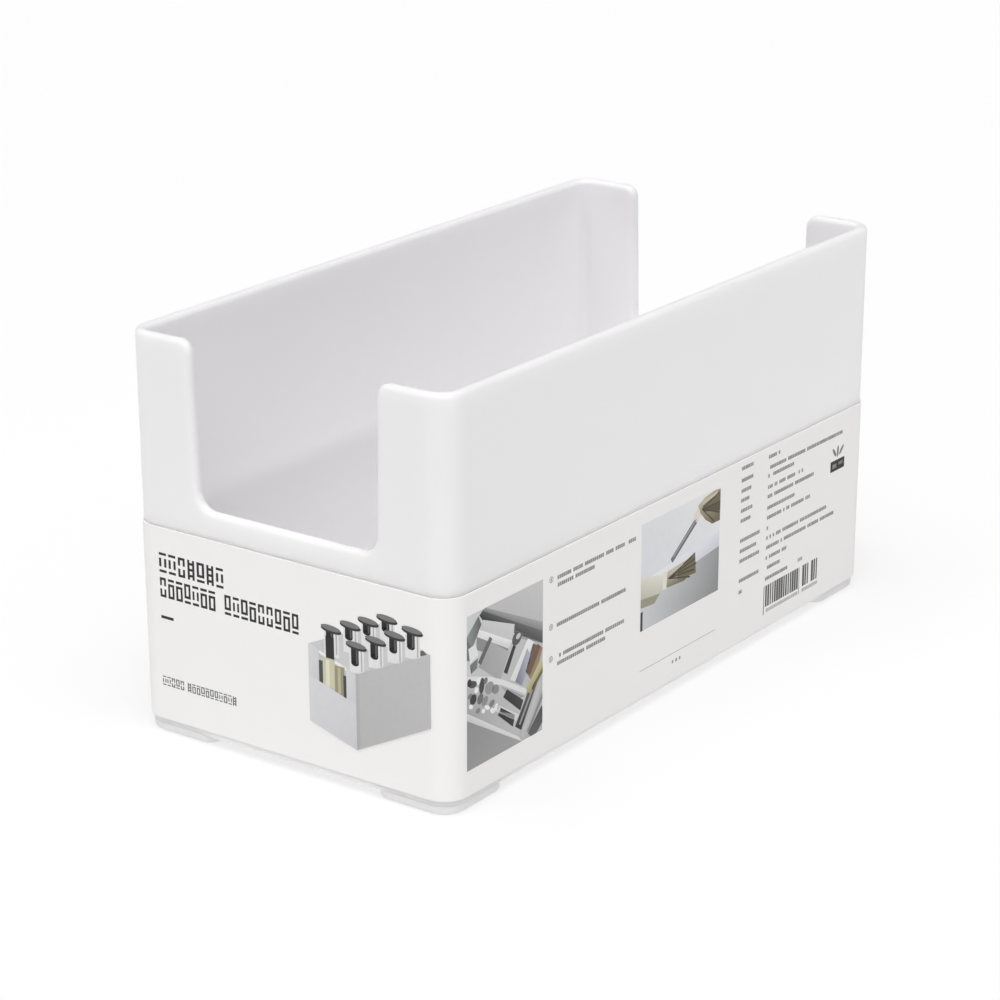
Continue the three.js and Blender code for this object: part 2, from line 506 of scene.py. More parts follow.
class PrintSheet:
    """Flat inked shapes on one face of the sleeve, gathered into one mesh with a colour on each face."""

    def __init__(self, name, face, sizes, settings, material):
        self.name = name
        self.face = face
        self.sizes = sizes
        self.settings = settings
        self.material = material
        self.points = []
        self.faces = []
        self.colours = []

    def place(self, across, up, lift):
        """A point of the print, from millimetres across and up to metres on the card."""
        out = self.settings.card - card_inset(up * MM, self.settings) + lift
        if self.face == "front":
            y = -(self.sizes.depth / 2 + out)
            return (across * MM, y, up * MM + sleeve_lift(y, self.settings))
        y = across * MM
        return (self.sizes.width / 2 + out, y, up * MM + sleeve_lift(y, self.settings))

    def prism(self, outline, ink, layer=1):
        """A thin plate of ink with the outline's shape, its foot just inside the card."""
        area = sum(a[0] * b[1] - b[0] * a[1] for a, b in zip(outline, outline[1:] + outline[:1]))
        inks = ink if isinstance(ink, list) else [ink] * len(outline)
        if area < 0:
            outline, inks = outline[::-1], inks[::-1]
        lift = self.settings.ink * layer
        start = len(self.points)
        count = len(outline)
        self.points += [self.place(a, b, -self.settings.ink) for a, b in outline]
        self.points += [self.place(a, b, lift) for a, b in outline]
        self.faces.append([start + i for i in reversed(range(count))])
        self.colours.append([inks[i] for i in reversed(range(count))])
        self.faces.append([start + count + i for i in range(count)])
        self.colours.append(list(inks))
        for i in range(count):
            j = (i + 1) % count
            self.faces.append([start + i, start + j, start + count + j, start + count + i])
            self.colours.append([inks[i], inks[j], inks[j], inks[i]])

    def rectangle(self, left, low, right, high, ink, layer=1):
        self.prism([(left, low), (right, low), (right, high), (left, high)], ink, layer)

    def ellipse(self, x, z, radius_x, radius_z, ink, layer=1, turn=0.0):
        self.prism(ellipse_outline(x, z, radius_x, radius_z, turn), ink, layer)

    def marks(self, left, low, mesh, ink):
        """Adds a row of marks that a node tree has made, its own origin at the given place."""
        start = len(self.points)
        lift = self.settings.ink
        for vertex in mesh.vertices:
            self.points.append(self.place(left + vertex.co.x / MM, low + vertex.co.y / MM,
                                          lift if vertex.co.z > 0 else -lift))
        for polygon in mesh.polygons:
            self.faces.append([start + i for i in polygon.vertices])
            self.colours.append([ink] * len(polygon.vertices))

    def build(self):
        mesh = bpy.data.meshes.new(self.name)
        mesh.from_pydata(self.points, [], self.faces)
        layer = mesh.color_attributes.new(INK_COLOURS, "FLOAT_COLOR", "CORNER")
        flat = [channel for face in self.colours for rgb in face for channel in (*rgb, 1.0)]
        layer.data.foreach_set("color", flat)
        mesh.update()
        return mesh


# Plates in a unit cell, as left, low, right and high. They stand in for print, and none is a letter.
STEM, ARM = 0.31, 0.13
LEFT_STEM, RIGHT_STEM = (0, 0, STEM, 1), (1 - STEM, 0, 1, 1)


def arms(*levels):
    """Bars between the two stems, their middles at the given heights."""
    return tuple((STEM, level - ARM / 2, 1 - STEM, level + ARM / 2) for level in levels)


GLYPHS = (
    (LEFT_STEM, RIGHT_STEM, *arms(0.2, 0.5, 0.8)),
    ((0, 0, STEM, 0.42), (1 - STEM, 0, 1, 0.42), (0, 0.58, STEM, 1), (1 - STEM, 0.58, 1, 1),
     *arms(ARM / 2, 1 - ARM / 2)),
    ((0, 0.25, STEM, 1), (1 - STEM, 0.25, 1, 1), *arms(0.25 + ARM / 2, 1 - ARM / 2), (0, 0, 1, ARM)),
    ((0, 0, STEM, 0.75), (1 - STEM, 0, 1, 0.75), *arms(ARM / 2, 0.75 - ARM / 2), (0, 1 - ARM, 1, 1)),
    ((0, 0.28, STEM, 0.72), (1 - STEM, 0.28, 1, 0.72), (0, 0, 1, ARM), (0, 1 - ARM, 1, 1)),
)
BARS = (((0, 0, 1, 1),),)


def shape_kit(name, shapes):
    """A collection with one flat object for each shape, for a row of marks to pick from."""
    if name in bpy.data.collections:
        return bpy.data.collections[name]
    kit = bpy.data.collections.new(name)
    for number, plates in enumerate(shapes):
        points, faces = [], []
        for left, low, right, high in plates:
            start = len(points)
            for depth in (-0.5, 0.5):
                points += [(x - 0.5, y - 0.5, depth)
                           for x, y in ((left, low), (right, low), (right, high), (left, high))]
            for face in ((3, 2, 1, 0), (4, 5, 6, 7), (0, 1, 5, 4), (1, 2, 6, 5), (2, 3, 7, 6),
                         (3, 0, 4, 7)):
                faces.append([start + i for i in face])
        mesh = bpy.data.meshes.new(f"{name} {number}")
        mesh.from_pydata(points, [], faces)
        kit.objects.link(bpy.data.objects.new(f"{name} {number}", mesh))
    return kit


def drop_kits():
    """Takes away the shapes that the rows of marks were made from."""
    for kit in list(bpy.data.collections):
        if kit.name in ("glyphs", "bars"):
            for part in list(kit.objects):
                bpy.data.meshes.remove(part.data)
            bpy.data.collections.remove(kit)


def row_of_marks_tree():
    """A node tree that lays shapes in a row at random, some left out, as stand-in for a line of print."""
    tree = bpy.data.node_groups.new(ROW_TREE, "GeometryNodeTree")
    add_sockets(tree, "INPUT", "Geometry", "Geometry")
    add_sockets(tree, "INPUT", "Collection", "Shapes")
    add_sockets(tree, "INPUT", "Int", "Cells", "Seed")
    add_sockets(tree, "INPUT", "Float", "Pitch", "Height", "Thickness", "Narrowest", "Widest",
                "Gap Chance")
    add_sockets(tree, "INPUT", "Material", "Material")
    add_sockets(tree, "OUTPUT", "Geometry", "Geometry")
    given = add_node(tree, "NodeGroupInput").outputs
    seed = given["Seed"]
    step = add_node(tree, "ShaderNodeCombineXYZ", {"X": given["Pitch"]})
    line = add_node(tree, "GeometryNodeMeshLine", {"Count": given["Cells"], "Offset": step.outputs[0]},
                    mode="OFFSET")
    left_out = add_node(tree, "FunctionNodeRandomValue",
                        {"Probability": given["Gap Chance"], "Seed": seed}, data_type="BOOLEAN")
    kept = add_node(tree, "GeometryNodeDeleteGeometry",
                    {"Geometry": line.outputs["Mesh"], "Selection": enabled(left_out.outputs)})
    width = add_node(tree, "FunctionNodeRandomValue",
                     {"Min": given["Narrowest"], "Max": given["Widest"], "Seed": seed},
                     data_type="FLOAT")
    size = add_node(tree, "ShaderNodeCombineXYZ",
                    {"X": enabled(width.outputs), "Y": given["Height"], "Z": given["Thickness"]})
    shapes = add_node(tree, "GeometryNodeCollectionInfo",
                      {"Collection": given["Shapes"], "Separate Children": True,
                       "Reset Children": True})
    # The pick counts past the number of shapes and wraps round.
    pick = add_node(tree, "FunctionNodeRandomValue", {"Min": 0, "Max": 1000, "Seed": seed},
                    data_type="INT")
    copies = add_node(tree, "GeometryNodeInstanceOnPoints",
                      {"Points": kept.outputs["Geometry"], "Instance": shapes.outputs["Instances"],
                       "Pick Instance": True, "Instance Index": enabled(pick.outputs),
                       "Scale": size.outputs[0]})
    real = add_node(tree, "GeometryNodeRealizeInstances", {"Geometry": copies.outputs["Instances"]})
    painted = add_node(tree, "GeometryNodeSetMaterial",
                       {"Geometry": real.outputs["Geometry"], "Material": given["Material"]})
    add_node(tree, "NodeGroupOutput", {"Geometry": painted.outputs["Geometry"]})
    return tree


def print_row(sheet, left, low, cells, pitch, height, ink, seed, widths=(0.72, 0.8), gaps=0.0,
              bars=False):
    """Lays one row of marks on a sheet; widths are shares of the pitch, all else is in millimetres."""
    holder = add_object("marks", bpy.data.meshes.new("marks"))
    modifier = holder.modifiers.new("marks", "NODES")
    modifier.node_group = bpy.data.node_groups.get(ROW_TREE) or row_of_marks_tree()
    values = {
        "Shapes": shape_kit("bars", BARS) if bars else shape_kit("glyphs", GLYPHS),
        "Cells": cells,
        "Pitch": pitch * MM,
        "Height": height * MM,
        "Thickness": 1.0 * MM,
        "Narrowest": widths[0] * pitch * MM,
        "Widest": widths[1] * pitch * MM,
        "Gap Chance": gaps,
        "Seed": seed,
        "Material": sheet.material,
    }
    for name, value in values.items():
        set_input(modifier, name, value)
    mesh = baked_mesh(holder)
    sheet.marks(left + pitch / 2, low + height / 2, mesh, ink)
    bpy.data.meshes.remove(mesh)


# The list: the heights of its round marks, and the left end, right end and height of its lines.
LIST_MARKS = (34.6, 25.8, 19.8)
LIST_ROWS = ((-38.9, -14.2, 34.1), (-38.8, -27.5, 32.7), (-39.0, -17.6, 25.3), (-38.8, -17.8, 19.4),
             (-38.8, -23.5, 18.0))
# The table's two columns: where each starts, and the right end and height of each line.
NAMES_LEFT, ROWS_LEFT = 21.6, 31.3
TABLE_NAMES = ((25.6, 37.4), (26.0, 35.0), (25.0, 32.9), (24.6, 31.0), (26.0, 28.9), (25.4, 26.9),
               (28.8, 22.9), (27.4, 20.8), (28.9, 18.8), (28.9, 14.8), (22.8, 12.5))
TABLE_ROWS = ((35.2, 37.1), (59.2, 34.9), (40.7, 33.3), (44.8, 31.0), (48.5, 29.1), (41.4, 26.8),
              (47.6, 24.8), (32.5, 22.7), (54.1, 20.7), (57.0, 18.7), (39.4, 16.6), (36.8, 14.5),
              (39.6, 12.3))
SMALL_PITCH = 0.6


def small_print(sheet, left, right, low, ink, seed, height=0.72, gaps=0.12):
    """One line of small print between two places, with gaps where words would end."""
    cells = max(2, round((right - left) / SMALL_PITCH))
    print_row(sheet, left, low, cells, SMALL_PITCH, height, ink, seed, widths=(0.78, 0.95),
              gaps=gaps, bars=True)


def tone(level, red=0, blue=0):
    """An ink's linear colour from a grey level out of 255 and a tint, less the varnish's sheen."""
    parts = (level + red, level, level + blue)
    return tuple(min(LIGHTEST_INK, max(DARKEST_INK, (part / 255) ** GAMMA / LIT_SHARE - SHEEN))
                 for part in parts)


def tones(*levels):
    """A shape's inks, corner by corner, each from a grey level or from a level with its tint."""
    return [tone(*level) if isinstance(level, tuple) else tone(level) for level in levels]


def print_headline(sheet, settings):
    """Two bold lines, a dash and a light line, all made of plain marks."""
    dark = tuple(settings.dark)
    seed = settings.seed
    print_row(sheet, -29.1, 31.0, 7, 2.2, 3.7, dark, seed)
    print_row(sheet, -29.1, 26.3, 7, 1.9, 3.7, dark, seed + 1)
    print_row(sheet, -14.1, 26.3, 9, 1.9, 3.7, dark, seed + 2)
    sheet.rectangle(-28.9, 22.2, -26.0, 22.75, dark)
    print_row(sheet, -29.3, 9.3, 5, 1.05, 1.75, tone(110), seed + 3)
    print_row(sheet, -23.4, 9.3, 11, 1.05, 1.75, tone(110), seed + 4)


# The printed bin's two faces, each from its low near corner round by the low far one.
DRAWN_LEFT = ((15.2, 8.0), (4.9, 11.0), (4.9, 25.3), (15.2, 22.0))
DRAWN_RIGHT = ((15.2, 8.0), (31.0, 16.0), (31.0, 29.3), (15.2, 22.0))
# The notch in its left face: its near and far side and its foot, as shares of the face.
DRAWN_NOTCH = (0.2, 0.78, 0.6)


def on_face(face, along, up):
    """A place on a drawn face, from shares of its length and its height."""
    low_near, low_far, high_far, high_near = (Vector(corner) for corner in face)
    return tuple(low_near.lerp(low_far, along).lerp(high_near.lerp(high_far, along), up))


def patch(face, start, end, low, high):
    """The four corners of a part of a drawn face."""
    return [on_face(face, *corner) for corner in ((start, low), (end, low), (end, high), (start, high))]


def draw_jar(sheet, x, z, neck, layer):
    """A clear jar with a dark neck and a wide domed lid, its lid's middle at the given place."""
    sheet.rectangle(x - 1.55, z - 5.0, x + 1.6, z, tone(222), layer)
    sheet.rectangle(x + 0.95, z - 4.4, x + 1.25, z, tone(176), layer + 1)
    sheet.rectangle(x - 1.15, z - neck, x + 0.5, z, tone(52), layer + 1)
    sheet.ellipse(x - 0.33, z - neck, 0.82, 0.5, tone(48), layer + 1)
    sheet.rectangle(x - 0.1, z - neck, x + 0.3, z - 0.4, tone(92), layer + 2)
    sheet.ellipse(x, z - 0.1, 2.25, 0.62, tone(66), layer + 3, turn=-0.06)
    sheet.ellipse(x - 0.1, z + 0.22, 2.15, 0.5, tone(122), layer + 4, turn=-0.06)


def print_product_picture(sheet):
    """A small grey notched bin with eight lidded jars in it."""
    back = tuple(Vector(DRAWN_LEFT[2]) + Vector(DRAWN_RIGHT[2]) - Vector(DRAWN_LEFT[3]))
    sheet.prism([DRAWN_LEFT[3], DRAWN_RIGHT[2], back, DRAWN_LEFT[2]], tone(200), 1)
    sheet.prism([(28.3, 28.3), (30.4, 29.2), (29.6, 29.8), (27.6, 29.0)], tone(104), 2)
    layer = 2
    for x, z, neck in ((22.06, 33.6, 1.9), (18.04, 32.2, 2.0), (14.15, 30.6, 2.2), (9.97, 29.0, 4.6),
                       (27.4, 32.7, 2.9), (23.65, 31.0, 2.7), (19.6, 29.1, 2.9), (15.4, 27.2, 3.2)):
        draw_jar(sheet, x, z, neck, layer)
        layer += 2
    # Inside the notch: amber liquid in two jars, with dark edges.
    near, far, low = DRAWN_NOTCH
    layer += 3
    sheet.prism(patch(DRAWN_LEFT, near, far, low, 0.96), tone(190), layer)
    for left, bottom, right, top, ink in (
        (8.75, 23.2, 10.5, 27.6, tone(58)),
        (8.1, 18.2, 10.6, 23.6, tone(196, 4, -24)),
        (8.7, 18.2, 9.5, 23.2, tone(216, 3, -20)),
        (10.6, 17.2, 12.7, 22.6, tone(146, 6, -26)),
        (11.3, 17.6, 11.9, 22.4, tone(176, 4, -22)),
        (7.2, 18.6, 8.0, 22.8, tone(86)),
        (12.5, 16.9, 13.1, 21.2, tone(80)),
    ):
        layer += 1
        sheet.rectangle(left, bottom, right, top, ink, layer)
    layer += 1
    shade = tones((198, 0, 2), (206, 0, 2), (210, 0, 2), (206, 0, 2))
    sheet.prism(patch(DRAWN_LEFT, 0, 1, 0, low), shade, layer)
    sheet.prism(patch(DRAWN_LEFT, 0, near, low, 1), shade, layer)
    sheet.prism(patch(DRAWN_LEFT, far, 1, low, 1), shade, layer)
    sheet.prism(patch(DRAWN_RIGHT, 0, 1, 0, 1), tones(178, 184, 188, 184), layer)
    sheet.prism(patch(DRAWN_RIGHT, 0, 0.05, 0, 1), tones(166, 174, 180, 174), layer + 1)


def cut_ring(ring, axis, limit, side):
    """A ring of places and colours without the part beyond a straight edge."""
    kept = []
    for (start, start_ink), (end, end_ink) in zip(ring, ring[1:] + ring[:1]):
        before, after = side * (start[axis] - limit), side * (end[axis] - limit)
        if before >= 0:
            kept.append((start, start_ink))
        if before * after < 0:
            share = before / (before - after)
            kept.append((start.lerp(end, share), start_ink.lerp(end_ink, share)))
    return kept


class PictureFrame:
    """A picture's rectangle on the card. Places are hundredths of its width and height, and what lies
    past its edges is cut off. A shape has one grey level, or a list with a level for each corner; a
    tinted level is a tuple of the level and what its red and its blue gain."""

    def __init__(self, sheet, left, low, right, high):
        self.sheet = sheet
        self.low = Vector((left, low))
        self.high = Vector((right, high))

    def at(self, across, up):
        span = (self.high - self.low) / 100
        return (self.low.x + across * span.x, self.low.y + up * span.y)

    def fill(self, places, levels, layer):
        inks = tones(*levels) if isinstance(levels, list) else tones(levels) * len(places)
        ring = [(Vector(place), Vector(ink)) for place, ink in zip(places, inks)]
        for axis, limit, side in ((0, self.low.x, 1), (0, self.high.x, -1),
                                  (1, self.low.y, 1), (1, self.high.y, -1)):
            ring = cut_ring(ring, axis, limit, side)
        if len(ring) > 2:
            self.sheet.prism([tuple(place) for place, _ in ring], [tuple(ink) for _, ink in ring],
                             layer)

    def shape(self, levels, layer, *corners):
        self.fill([self.at(*corner) for corner in corners], levels, layer)

    def stick(self, levels, layer, start, end, start_wide, end_wide):
        """A straight bar between two places, given its width at each end in millimetres."""
        a, b = Vector(self.at(*start)), Vector(self.at(*end))
        across = Vector((a.y - b.y, b.x - a.x)).normalized() / 2
        at_start, at_end = across * start_wide, across * end_wide
        self.fill([a - at_start, b - at_end, b + at_end, a + at_start], levels, layer)

    def spot(self, levels, layer, middle, wide, high, turn=0.0):
        """A small ellipse, its width and height in millimetres."""
        outline = ellipse_outline(*self.at(*middle), wide / 2, high / 2, turn, SPOT_STEPS)
        self.fill(outline, levels, layer)


# Small things in the lower tray of the printed drawer: place, width, height, turn and grey level.
TRAY_THINGS = (
    (7, 55, 2.6, 1.3, -0.3, 84), (3, 57, 1.2, 1.4, 0.2, 70), (19, 51, 1.5, 2.9, -0.1, 76),
    (24, 53, 1.2, 1.2, 0.4, 120), (8, 45, 1.9, 1.9, 0.5, 66), (4, 48, 1.4, 1.0, 0.0, 128),
    (17, 43, 1.7, 2.0, -0.5, 112), (23, 40, 2.0, 1.5, 0.6, 140), (29, 47, 2.7, 2.3, -0.4, 150),
    (37, 44, 2.2, 1.7, -0.5, 138), (32, 36, 1.7, 1.2, 0.3, 126), (14, 36, 1.3, 1.0, 0.0, 132),
)
# Pale glints among them: place, width and height.
TRAY_GLINTS = (
    (12, 50, 1.2, 1.1), (5, 41, 1.3, 0.8), (26, 35, 1.7, 0.8), (33, 31, 1.6, 0.9),
    (21, 34, 1.1, 0.8), (38, 32, 1.2, 1.3), (15, 55, 1.0, 1.4),
)


def print_drawer_picture(sheet):
    """A picture of an open drawer with pale trays and small things in them."""
    page = PictureFrame(sheet, left=-65.2, low=7.4, right=-43.2, high=35.5)
    page.shape([186, 176, 196, (208, -3, 0)], 1, (0, 0), (100, 0), (100, 100), (0, 100))
    # The cabinet above the drawer, the dark gap under it and the drawer's back edge.
    page.shape([188, 200, 190], 2, (24, 100), (100, 100), (100, 72))
    page.shape([120, 152, 166, 128], 2, (19, 99), (24, 100), (100, 72), (100, 65))
    page.shape([62, 88, 110, 82, 66], 3, (16, 97), (20, 99), (100, 66), (100, 58), (22, 91))
    page.shape([150, 136, 172], 3, (60, 78), (100, 58), (66, 70))
    page.shape([(150, -4, 0), 110, 96, (140, -3, 0)], 2, (0, 87), (15, 97), (19, 90), (4, 76))
    page.shape(118, 2, (0, 87), (5, 79), (6, 70), (0, 72))
    # White boxes and a grey one in the upper tray.
    page.shape([196, 204, 208, 200], 4, (16, 88), (21, 93), (62, 80), (60, 68))
    page.shape([238, 232, 206, 222], 5, (16, 88), (59, 70), (54, 66), (13, 84))
    page.shape(140, 4, (13, 84), (54, 66), (52, 60), (12, 76))
    page.shape([160, 170, 178, 168], 5, (15, 64), (29, 77), (55, 64), (43, 48))
    page.stick(104, 6, (16, 66), (31, 79), 1.1, 1.0)
    page.shape(226, 5, (2, 79), (11, 80), (15, 72), (4, 69))
    page.shape(120, 5, (4, 68), (14, 70), (13, 64), (5, 62))
    page.shape(206, 5, (0, 66), (8, 66), (9, 61), (0, 62))
    # A dark tool, the tray's walls and the things that stand in its narrow part.
    page.stick(62, 6, (50, 51), (62, 66), 1.2, 0.9)
    page.spot(92, 6, (65, 70), 2.9, 2.4, 0.3)
    page.spot((196, -4, 10), 7, (67, 71), 1.4, 1.0, 0.3)
    page.shape([220, 236, 232, 214], 6, (56, 45), (80, 66), (88, 62), (66, 41))
    page.shape([(120, 0, 14), (176, -2, 16), (188, -2, 14), (150, 0, 12)], 7, (63, 42), (79, 60),
               (85, 52), (72, 37))
    page.shape([(108, 12, -8), (78, 14, -10), (128, 26, -18), (148, 26, -20)], 7,
               (77, 45), (87, 61), (100, 55), (88, 34))
    page.stick((92, 20, -12), 8, (80, 43), (95, 58), 1.5, 1.2)
    page.stick([(146, 8, -34), (168, 8, -44), (190, 6, -40), (178, 6, -36)], 9, (80, 31), (100, 45),
               1.6, 2.0)
    page.stick((112, 4, -30), 9, (86, 31), (101, 41), 0.7, 0.8)
    # The white rib and the lower tray with its small dark and pale things.
    page.shape(222, 6, (0, 62), (30, 54), (46, 48), (79, 33), (77, 30), (44, 45), (0, 58))
    page.shape([164, 188, 198, 184], 6, (0, 38), (67, 4), (78, 30), (0, 58))
    page.shape([(168, 0, 4), (150, 0, 4), (170, 0, 4)], 7, (44, 44), (76, 29), (60, 30))
    for x, z, wide, high, turn, level in TRAY_THINGS:
        page.spot(level, 7, (x, z), wide, high, turn)
    for x, z, wide, high in TRAY_GLINTS:
        page.spot(234, 8, (x, z), wide, high, -0.5)
    page.shape([52, 60, 72, 60], 8, (47, 36), (52, 40), (74, 27), (70, 21))
    page.shape([50, 58, 70, 54], 8, (40, 26), (44, 30), (63, 20), (60, 13))
    page.shape(214, 8, (40, 33), (68, 19), (64, 16), (38, 29))
    # Long sticks in the right-hand channel.
    page.shape([190, 196, 168, 176], 7, (71, 4), (96, 33), (100, 26), (78, 0))
    page.stick([50, 92, 104, 58], 8, (67, 10), (90, 36), 2.2, 1.7)
    page.stick(150, 9, (69, 12), (90, 35), 0.5, 0.5)
    page.stick(136, 8, (80, 4), (101, 24), 0.7, 0.7)
    page.stick([104, 84, 76, 98], 8, (84, 0), (103, 13), 2.2, 2.6)
    # The drawer's pale front edge and the shaded front below it.
    page.shape([196, 212, 222, 212], 9, (0, 33), (72, 0), (68, 4), (0, 38))
    page.shape([150, 158, 142], 9, (0, 0), (72, 0), (0, 33))


def print_brush_picture(sheet):
    """A picture of two brushes over a white drawer edge, on a pale blue-grey ground."""
    page = PictureFrame(sheet, left=-12.4, low=15.8, right=14.1, high=36.4)
    page.shape([200, 150, 226, (222, -2, 3)], 1, (0, 0), (100, 0), (100, 100), (0, 100))
    page.shape([(218, -2, 5), (228, -1, 3), 230, (222, -2, 2)], 2, (0, 40), (100, 56), (100, 100),
               (0, 100))
    page.shape([(204, -1, 2), 138, (152, -2, 3), (186, -2, 3), (206, -1, 2)], 2,
               (0, 0), (100, 0), (100, 44), (52, 40), (0, 20))
    page.shape([(232, -2, 2), (206, -2, 8), (222, -2, 8), 236], 3,
               (0, 30), (100, 43), (100, 58), (0, 46))
    # The brush that stands: a grey handle, a pale collar and a brown fan.
    page.stick(112, 4, (38, 52), (70, 80), 1.1, 1.2)
    page.stick(160, 5, (40, 55), (69, 80), 0.3, 0.3)
    page.shape((214, 8, -8), 5, (65, 82), (70, 76), (79, 86), (73, 94))
    page.shape([(150, 10, -22), (176, 10, -22), (184, 10, -20), (176, 10, -22),
                (140, 10, -24), (98, 8, -18), (104, 8, -18), (128, 10, -22)], 6,
               (74, 84), (71, 92), (80, 97), (92, 99), (100, 98), (100, 68), (90, 68), (81, 75))
    page.stick((104, 10, -18), 7, (77, 88), (101, 90), 0.7, 2.6)
    page.stick((84, 8, -14), 8, (78, 85), (101, 82), 0.5, 2.0)
    page.stick((190, 8, -18), 8, (76, 92), (96, 96), 0.4, 0.7)
    for tip in ((92, 70), (99, 76), (100, 86), (98, 95)):
        page.stick((76, 6, -12), 9, (76, 87), tip, 0.2, 0.35)
    # The brush that lies: a thick beige handle, a pale collar and brown bristles.
    page.shape([(170, 2, -22), (180, 2, -20), (200, 4, -16), (222, 3, -8), (216, 3, -10)], 4,
               (0, 22), (17, 20), (29, 31), (29, 43), (0, 51))
    page.shape((150, 2, -18), 5, (0, 22), (17, 20), (24, 27), (0, 30))
    page.shape((222, 4, -8), 5, (27, 29), (32, 28), (33, 44), (28, 45))
    page.shape([(130, 8, -20), (98, 8, -18), (112, 10, -20), (176, 10, -22), (190, 8, -22)], 6,
               (32, 29), (55, 27), (67, 34), (60, 46), (33, 44))
    page.stick((104, 10, -20), 7, (46, 36), (69, 39), 2.2, 4.2)
    for tip in ((62, 28), (67, 33), (70, 38), (68, 43), (64, 46)):
        page.stick((76, 6, -12), 9, (34, 37), tip, 0.2, 0.35)
    page.stick((190, 8, -18), 8, (36, 41), (53, 43), 0.5, 0.6)
    page.shape(70, 8, (0, 0), (2.6, 0), (2.6, 18), (0, 18))


def print_side_text(sheet, settings):
    """The list, the table, the rule and the row of bars, with no lettering in any of them."""
    grey = tuple(settings.grey)
    seed = settings.seed
    for height in LIST_MARKS:
        sheet.ellipse(-40.7, height, 0.62, 0.62, tone(172), 1)
        sheet.ellipse(-40.7, height, 0.4, 0.4, tuple(settings.paper), 2)
        sheet.rectangle(-40.85, height - 0.28, -40.55, height + 0.28, tone(130), 3)
    for left, right, low in LIST_ROWS:
        seed += 1
        small_print(sheet, left, right, low, grey, seed)
    sheet.rectangle(-12.3, 7.94, 13.4, 8.04, tone(150))
    small_print(sheet, -1.5, 2.3, 6.0, grey, seed + 20, height=0.6)
    for right, low in TABLE_NAMES:
        seed += 1
        small_print(sheet, NAMES_LEFT, right, low, grey, seed, gaps=0.0)
    for right, low in TABLE_ROWS:
        seed += 1
        small_print(sheet, ROWS_LEFT, right, low, grey, seed)
    # A plain badge: a dark box with two pale plates in it, under three small leaves.
    sheet.rectangle(55.2, 27.7, 60.6, 29.9, tone(52), 1)
    sheet.rectangle(55.9, 28.3, 57.5, 29.2, tone(130), 2)
    sheet.rectangle(58.3, 28.6, 60.0, 29.3, tone(120), 2)
    for x, turn in ((56.6, -0.9), (57.9, 1.5), (59.3, 0.8)):
        sheet.ellipse(x, 31.6, 1.2, 0.36, tone(128), 1, turn=turn)
    for left, cells in ((31.5, 15), (45.6, 3), (49.0, 3)):
        print_row(sheet, left, 6.8, cells, 0.84, 4.4, tone(92), seed + cells, widths=(0.5, 0.92),
                  bars=True)
    sheet.rectangle(31.0, 5.3, 31.25, 11.2, tone(92))
    sheet.rectangle(44.3, 5.6, 44.5, 11.2, tone(120))
    small_print(sheet, 32.0, 44.0, 5.6, tone(180), seed + 30, gaps=0.0)
    small_print(sheet, 45.6, 51.6, 5.6, tone(180), seed + 31, gaps=0.0)
    small_print(sheet, 43.6, 45.6, 12.5, tone(160), seed + 32, gaps=0.0)


# ---------------------------------------------------------------- materials

GRAIN_TREE = "Fine grain"
SURFACE_IOR = 1.46


def grain_group():
    """Fine grain on Object coordinates: a height for Bump, and a soft cloud for colour and roughness."""
    if GRAIN_TREE in bpy.data.node_groups:
        return bpy.data.node_groups[GRAIN_TREE]
    group = bpy.data.node_groups.new(GRAIN_TREE, "ShaderNodeTree")
    add_sockets(group, "INPUT", "Float", "Grain Scale", "Wave Scale", "Wave Share")
    add_sockets(group, "INPUT", "Vector", "Stretch")
    add_sockets(group, "OUTPUT", "Float", "Height", "Cloud")
    given = add_node(group, "NodeGroupInput").outputs
    place = add_node(group, "ShaderNodeTexCoord").outputs["Object"]
    stretched = add_node(group, "ShaderNodeVectorMath", {0: place, 1: given["Stretch"]},
                         operation="MULTIPLY")
    grain = add_node(group, "ShaderNodeTexNoise",
                     {"Vector": stretched.outputs[0], "Scale": given["Grain Scale"],
                      "Detail": 3.0, "Roughness": 0.6})
    wave = add_node(group, "ShaderNodeTexNoise",
                    {"Vector": place, "Scale": given["Wave Scale"], "Detail": 2.0})
    mix = add_node(group, "ShaderNodeMix",
                   {"Factor": given["Wave Share"], "A": grain.outputs["Fac"],
                    "B": wave.outputs["Fac"]})
    add_node(group, "NodeGroupOutput", {"Height": enabled(mix.outputs), "Cloud": wave.outputs["Fac"]})
    return group


